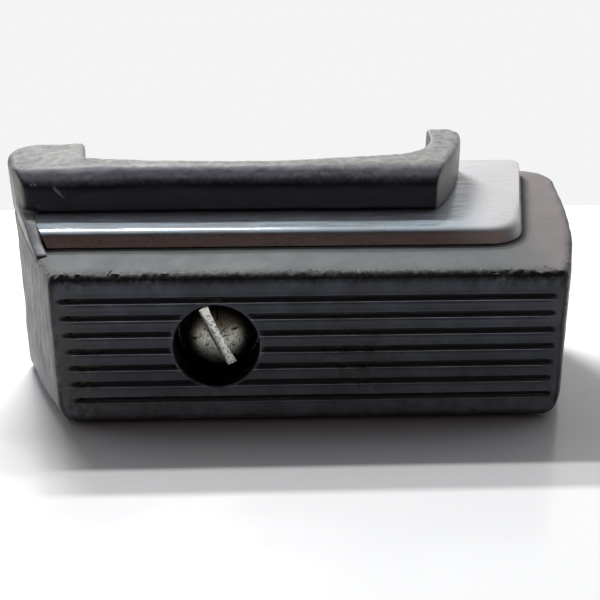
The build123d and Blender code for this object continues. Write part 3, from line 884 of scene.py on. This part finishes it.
def blade_cutter(place, size, turn):
    """A thin blade that slits an edge."""
    clear_selection()
    bpy.ops.mesh.primitive_ico_sphere_add(
        subdivisions=2, radius=MM, location=at(*place),
        rotation=[math.radians(angle) for angle in turn])
    cutter = bpy.context.object
    cutter.scale = size
    settle(cutter)
    return cutter


def pocket_cutter(place, radius, depth):
    """An upright cylinder up from below the underside."""
    clear_selection()
    bpy.ops.mesh.primitive_cylinder_add(
        vertices=48, radius=radius * MM, depth=2 * depth * MM, location=at(*place, 0))
    cutter = bpy.context.object
    settle(cutter)
    return cutter


def worn_edges(place):
    """More unevenness near the ends and edges of the block than on its faces."""
    ends = smooth_step(78, 84, place.x) + smooth_step(-34, -40, place.x)
    return 0.35 + 0.9 * min(ends, 1)


def torn_edge(place):
    """How much of the tearing along the block's upper front edge reaches a place."""
    edge = smooth_step(3.4, 1.2, math.hypot(place.y - 0.9, place.z - SHOULDER + 0.9))
    patch = 0.5 + noise.noise(Vector((place.x / 9, 3.0, 1.0)))
    ends = smooth_step(-8, -20, place.x) + smooth_step(62, 68, place.x)
    return edge * max(0.25 + 0.6 * patch + 0.5 * ends, 0)


STUD_PLACES = ((-42.5, 38.0), (53.0, 31.2))


class FOOTPEG_OT_tread_block(bpy.types.Operator):
    """Ribbed rubber block with the bolt's counterbore"""

    bl_idname = "footpeg.tread_block"
    bl_label = "Tread block"
    nicks = (                     # place, half sizes and turn of each slit in the edges
        ((-25.0, 1.4, 38.1), (0.28, 2.6, 1.1), (12, 0, -24)),
        ((-33.5, 0.9, 37.6), (0.9, 0.5, 0.4), (0, 20, 10)),
        ((83.9, 0.8, 33.4), (1.2, 0.7, 0.5), (0, 10, 30)),
        ((83.9, 1.5, 29.2), (1.0, 0.8, 0.3), (0, 0, 20)),
        ((9.0, 0.9, 37.5), (0.8, 0.4, 0.35), (0, 0, 15)),
        ((66.0, 1.0, 37.4), (0.9, 0.5, 0.4), (0, 0, -10)),
    )

    def execute(self, context):
        piece = outline_solid("tread_block_rubber", block_outline(), 0, 62)
        cut_sloped(piece, 0, True)
        ease_edges(piece, block_radius)
        divide(piece, "X", steps(-58, 95, 1.5))
        divide(piece, "X", steps(-39, 85, 0.5), 3.2)
        divide(piece, "Y", steps(2.6, 60, 1.5))
        pitch, top = sizes().groove_pitch / MM, sizes().top_groove / MM
        rows = [top - number * pitch + offset for number in range(sizes().groove_count)
                for offset in GROOVE_ROWS]
        divide(piece, "Z", rows, 3.2)
        divide(piece, "Z", steps(2.5, 49, 1.9))
        move_vertices(piece, lean)
        move_vertices(piece, grooves)
        unevenness = sizes().sag / MM
        move_vertices(piece, roughen(9, unevenness, worn_edges, 3.1))
        move_vertices(piece, roughen(2.4, unevenness * 0.45, worn_edges, 7.7))
        move_vertices(piece, roughen(0.9, 0.3, torn_edge, 4.4))
        move_vertices(piece, drawn_in)
        take_away(piece, counterbore_cutter())
        take_away(piece, drum("cutter", 6.6, 13, 40))
        for place in STUD_PLACES:
            take_away(piece, pocket_cutter(place, 5.0, 12))
        for place, size, turn in self.nicks:
            take_away(piece, blade_cutter(place, size, turn))
        smooth(piece)
        finish(piece, block_rubber(), "rubber_block", "peg", "tread_block")
        return {"FINISHED"}


class FOOTPEG_OT_trim_plate(bpy.types.Operator):
    """Bright plate between the block and the pad"""

    bl_idname = "footpeg.trim_plate"
    bl_label = "Trim plate"

    def execute(self, context):
        piece = outline_solid("bright_trim_plate", trim_outline(), 30, 70)
        cut_sloped(piece, TRIM_GAP, False)
        cut_sloped(piece, TRIM_LIFT, True)
        move_vertices(piece, self.lean_edges)
        ease_edges(piece, self.radius, 5)
        divide(piece, "X", steps(-50, 88, 6))
        divide(piece, "Y", steps(16, 60, 6))
        move_vertices(piece, roughen(26, 0.05, seed=1.3))
        smooth(piece, 40)
        finish(piece, bright_plate(), "bright_trim", "peg", "trim_plate")
        return {"FINISHED"}

    def lean_edges(self, place, _normal):
        """Slants the left end under, and leans the front and the right side back."""
        lift = place.z - top_at(place.y)
        under = (TRIM_LIFT - lift) * 0.45 if place.x < -40 else 0
        front = smooth_step(30, TRIM_FRONT, place.y)
        right = smooth_step(66, 76, place.x)
        return place + Vector((under - 0.22 * lift * right, 0.28 * lift * front, 0))

    def radius(self, first, second):
        """How far each edge of the plate's plain shape is rounded."""
        middle = (first + second) / 2
        if abs(first.z - second.z) > 3:
            return 0.0
        if middle.z < top_at(middle.y) + 2:
            return 0.0
        if middle.x < -43:
            return 0.2
        if middle.y < 24.5 and middle.x < 86:
            return sizes().trim_edge / MM
        return 0.9 if middle.x > 70 else 0.3


class FOOTPEG_OT_top_pad(bpy.types.Operator):
    """Rubber pad on the bright plate, with its flap over the plate's left end"""

    bl_idname = "footpeg.top_pad"
    bl_label = "Top pad"

    def execute(self, context):
        piece = outline_solid("top_pad_rubber", pad_outline(), 35, 90)
        cut_sloped(piece, 0, False)
        cut_sloped(piece, PAD_LIFT, True)
        combine(piece, self.flap(), "UNION")
        space = [(x + 1.7 if x < -43 else x, y) for x, y in trim_outline()]
        plate = outline_solid("plate_space", space, 30, 90)
        cut_sloped(plate, -3, False)
        cut_sloped(plate, TRIM_LIFT + 0.05, True)
        take_away(piece, plate)
        ease_edges(piece, self.radius, 5)
        modify(piece, "REMESH", mode="VOXEL", voxel_size=0.45 * MM)
        move_vertices(piece, rolled_front)
        modify(piece, "REMESH", mode="VOXEL", voxel_size=0.5 * MM)
        modify(piece, "SMOOTH", factor=0.5, iterations=7)
        move_vertices(piece, lean)
        move_vertices(piece, roughen(14, 0.16, seed=5.0))
        move_vertices(piece, roughen(2.2, 0.045, worn_pad_edge, seed=8.0))
        smooth(piece, 60)
        finish(piece, pad_rubber(), "rubber_pad", "peg", "top_pad")
        return {"FINISHED"}

    def flap(self):
        """The flap's front, beside the plate's left end."""
        side = [point for point in left_side_points() if 10.0 < point[1] < 34]
        inner = [(-40.2, 10.5), (-42.3, 14.8), (-46.6, 26.3), (-46.0, 28.0),
                 (side[0][0] + 6, side[0][1])]
        outline = [(x + 0.2, y) for x, y in side] + inner
        flap = outline_solid("pad_flap", outline[::-1], 35, 90)
        cut_sloped(flap, -1.2, False)
        cut_sloped(flap, 4.7, True)
        cut_sloped(flap, -4.2, True, math.radians(21))
        return flap

    def radius(self, first, second):
        """How far each edge of the pad's plain shape is rounded."""
        middle = (first + second) / 2
        top = middle.z > top_at(middle.y) + PAD_LIFT - 0.7
        level = (first - second).xy.length > 0.01
        if not (top and level) or middle.y < 29.5:
            return 0.0
        in_arch = ARCH_LEFT - 0.1 < middle.x < ARCH_RIGHT + 0.1
        if in_arch and middle.y < 54:
            return 0.6
        return 2.6 if middle.x < -40 else 1.4


class FOOTPEG_OT_clamp_bolt(bpy.types.Operator):
    """Slotted clamp bolt deep in the counterbore"""

    bl_idname = "footpeg.clamp_bolt"
    bl_label = "Clamp bolt"

    def execute(self, context):
        head = drum("clamp_bolt_nickel", 8.0, 7.3, 12.0, 96)
        self.dome(head)
        combine(head, drum("shank", 4.0, 11.5, 53.0, 48), "UNION")
        take_away(head, self.slot_cutter())
        smooth(head, 30)
        finish(head, tarnished_nickel(), "tarnished_nickel", "peg", "clamp_bolt")
        return {"FINISHED"}

    def dome(self, head):
        """Raises the head's front into a shallow dome."""
        centre = edit_front(head)
        radius, rise = 8.0, 2.15
        sphere = (radius ** 2 + rise ** 2) / (2 * rise)
        last_radius, last_height = radius, 0.0
        for ring in (7.7, 7.2, 6.6, 5.8, 4.9, 4.0, 3.0, 2.0, 1.0, 0.3):
            height = math.sqrt(sphere ** 2 - ring ** 2) - (sphere - rise)
            bpy.ops.mesh.extrude_region_move(
                TRANSFORM_OT_translate={"value": (0, (last_height - height) * MM, 0)})
            share = ring / last_radius
            bpy.ops.transform.resize(value=(share, 1, share), center_override=centre)
            last_radius, last_height = ring, height
        end_edit()

    def slot_cutter(self):
        """Cutter for the driver's slot, which leans left."""
        clear_selection()
        middle = at(0, 4.95, 0)
        middle.z = BOLT_Z
        bpy.ops.mesh.primitive_cube_add(size=1, location=middle)
        cutter = bpy.context.object
        cutter.scale = (2.5 * MM, 5.4 * MM, 20 * MM)
        cutter.rotation_euler = (0, math.radians(-25.4), 0)
        settle(cutter)
        return cutter


def eased_copy(node, radius):
    """A copy of a CAD node with its corners eased, which stands for it."""
    clear_selection()
    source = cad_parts[node]
    piece = bpy.data.objects.new(node + "_eased", source.data.copy())
    bpy.context.scene.collection.objects.link(piece)
    start_edit(piece)
    bpy.ops.mesh.remove_doubles(threshold=0.004 * MM)
    bpy.ops.mesh.customdata_custom_splitnormals_clear()
    bpy.ops.mesh.dissolve_limited(angle_limit=math.radians(1.0))
    end_edit()
    modify(piece, "BEVEL", width=radius * MM, segments=2, limit_method="ANGLE",
           angle_limit=math.radians(38), use_clamp_overlap=True)
    smooth(piece, 32)
    return piece


class FOOTPEG_OT_castings(bpy.types.Operator):
    """Carrier and hinge bracket"""

    bl_idname = "footpeg.castings"
    bl_label = "Castings"

    def execute(self, context):
        paint = black_casting()
        for node, body in (("carrier", "peg"), ("hinge_bracket", "bracket")):
            finish(eased_copy(node, 0.7), paint, "cast_black", body, node)
        return {"FINISHED"}


class FOOTPEG_OT_hinge_parts(bpy.types.Operator):
    """Hinge pin, washers, split pin, bushes and stop"""

    bl_idname = "footpeg.hinge_parts"
    bl_label = "Hinge parts"

    def execute(self, context):
        plated = steel("plated_steel", (0.52, 0.51, 0.46), True)
        bare = steel("bare_steel", (0.38, 0.37, 0.36))
        bronze = steel("bronze", (0.58, 0.36, 0.16), True)
        eased = (
            ("hinge_pin", 0.6, plated, "plated_steel", "bracket"),
            ("pin_washer", 0.25, plated, "plated_steel", "bracket"),
            ("stop_screw", 0.3, plated, "plated_steel", "bracket"),
            ("clamp_nut", 0.4, plated, "plated_steel", "peg"),
            ("spring_washer", 0.2, plated, "plated_steel", "peg"),
            ("cup_washer", 0.2, steel("grimy_steel", (0.02, 0.02, 0.02)), "bare_steel", "peg"),
            ("stop_pad", 0.6, plain_rubber(), "rubber_stop", "bracket"),
        )
        for node, radius, material, slot, body in eased:
            finish(eased_copy(node, radius), material, slot, body, node)
        kept = {
            "split_pin": plated, "stud_nuts": plated, "stud_washers": plated,
            "pad_studs": plated, "core_plate": bare, "pad_core": bare, "crush_sleeve": bare,
            "friction_washers": bare, "locating_dowels": bare, "hinge_bushes": bronze,
        }
        for node, material in kept.items():
            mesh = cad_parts[node].data
            mesh.materials.clear()
            mesh.materials.append(material)
        return {"FINISHED"}


class FOOTPEG_OT_torn_flap(bpy.types.Operator):
    """Small torn tongue of rubber at the block's lower right corner"""

    bl_idname = "footpeg.torn_flap"
    bl_label = "Torn flap"

    def execute(self, context):
        clear_selection()
        bpy.ops.mesh.primitive_grid_add(
            x_subdivisions=6, y_subdivisions=9, size=1, location=at(81.2, 1.4, 3.9))
        piece = bpy.context.object
        piece.name = "torn_rubber_flap"
        piece.scale = (1.6 * MM, 3.0 * MM, 1)
        piece.rotation_euler = Euler((math.radians(72), math.radians(10), math.radians(24)))
        settle(piece)
        move_vertices(piece, roughen(1.1, 0.5, seed=2.0))
        modify(piece, "SOLIDIFY", thickness=0.4 * MM, offset=0)
        modify(piece, "SUBSURF", levels=1, render_levels=1)
        smooth(piece, 60)
        finish(piece, torn_rubber(), "rubber_block", "peg")
        return {"FINISHED"}


class FOOTPEG_OT_stage(bpy.types.Operator):
    """Table, light and camera"""

    bl_idname = "footpeg.stage"
    bl_label = "Stage"

    def execute(self, context):
        self.camera(context.scene)
        self.table()
        self.sky(context.scene)
        self.lamps()
        context.scene.view_settings.view_transform = "Standard"
        return {"FINISHED"}

    def camera(self, scene):
        """The camera, a hand's length in front and above."""
        view = scene.peg_view
        clear_selection()
        bpy.ops.object.camera_add(
            location=at(13.3, -200.67, 96.73),
            rotation=(math.pi / 2 - view.pitch, math.radians(0.09), -view.yaw))
        camera = bpy.context.object
        camera.data.lens = view.lens
        camera.data.sensor_width = 36
        camera.data.clip_start = 0.01
        scene.camera = camera

    def table(self):
        """The table top, which ends some way behind the peg."""
        clear_selection()
        bpy.ops.mesh.primitive_plane_add(size=1, location=at(15, -352, -0.02))
        table = bpy.context.object
        table.name = "table"
        table.scale = (2.4, 1.2, 1)
        settle(table)
        table.data.materials.append(table_top())

    def sky(self, scene):
        """A room with a white wall beyond the peg and a dim brown side behind the viewer."""
        world = bpy.data.worlds.new("room")
        scene.world = world
        world.use_nodes = True
        tree = world.node_tree
        background = tree.nodes["Background"]
        way = tree.nodes.new("ShaderNodeTexCoord")
        axes = tree.nodes.new("ShaderNodeSeparateXYZ")
        tree.links.new(way.outputs["Generated"], axes.inputs[0])
        ramp = tree.nodes.new("ShaderNodeValToRGB")
        share = tree.nodes.new("ShaderNodeMapRange")
        share.inputs["From Min"].default_value = -1
        tree.links.new(axes.outputs["Y"], share.inputs["Value"])
        tree.links.new(share.outputs[0], ramp.inputs["Fac"])
        stops = ramp.color_ramp.elements
        stops[0].position = 0.42
        stops[0].color = (0.034, 0.025, 0.024, 1)
        stops[1].position = 0.9
        stops[1].color = (0.90, 0.905, 0.90, 1)
        for position, tone in ((0.5, (0.10, 0.10, 0.11)), (0.62, (0.66, 0.67, 0.70))):
            stops.new(position).color = (*tone, 1)
        tree.links.new(ramp.outputs[0], background.inputs["Color"])
        background.inputs["Strength"].default_value = 1.0

    def lamps(self):
        """Two tube lamps beyond and above the peg."""
        away, aside = 760, -140            # in millimetres from the block's upper edge
        for name, rise, power in (("near_tube", 57.3, 3.6), ("far_tube", 46.9, 4.6)):
            angle = math.radians(rise)
            clear_selection()
            bpy.ops.object.light_add(
                type="AREA",
                location=at(aside, away * math.cos(angle), SHOULDER + away * math.sin(angle)),
                rotation=(angle - math.pi / 2, 0, 0))
            lamp = bpy.context.object
            lamp.name = name
            lamp.data.shape = "RECTANGLE"
            lamp.data.size = 0.26
            lamp.data.size_y = 0.03
            lamp.data.energy = power


class FOOTPEG_PT_panel(bpy.types.Panel):
    """The peg's sizes, colours and pieces"""

    bl_label = "Foot Peg"
    bl_idname = "FOOTPEG_PT_panel"
    bl_space_type = "VIEW_3D"
    bl_region_type = "UI"
    bl_category = "Foot Peg"

    def draw(self, context):
        for group in (context.scene.peg_sizes, context.scene.peg_colours, context.scene.peg_view):
            box = self.layout.box()
            for name in group.__annotations__:
                box.prop(group, name)
        for operator in OPERATORS:
            self.layout.operator(operator.bl_idname)


OPERATORS = (
    FOOTPEG_OT_stage,
    FOOTPEG_OT_tread_block,
    FOOTPEG_OT_trim_plate,
    FOOTPEG_OT_top_pad,
    FOOTPEG_OT_clamp_bolt,
    FOOTPEG_OT_torn_flap,
    FOOTPEG_OT_castings,
    FOOTPEG_OT_hinge_parts,
)
GROUPS = {"peg_sizes": PegSizes, "peg_colours": PegColours, "peg_view": PegView}


def register():
    for kind in (*GROUPS.values(), *OPERATORS, FOOTPEG_PT_panel):
        bpy.utils.register_class(kind)
    for name, kind in GROUPS.items():
        setattr(bpy.types.Scene, name, PointerProperty(type=kind))


def unregister():
    for name in GROUPS:
        delattr(bpy.types.Scene, name)
    for kind in (FOOTPEG_PT_panel, *reversed(OPERATORS), *GROUPS.values()):
        bpy.utils.unregister_class(kind)


def main():
    register()
    for operator in OPERATORS:
        group, name = operator.bl_idname.split(".")
        getattr(getattr(bpy.ops, group), name)()


if __name__ == "__main__":
    main()
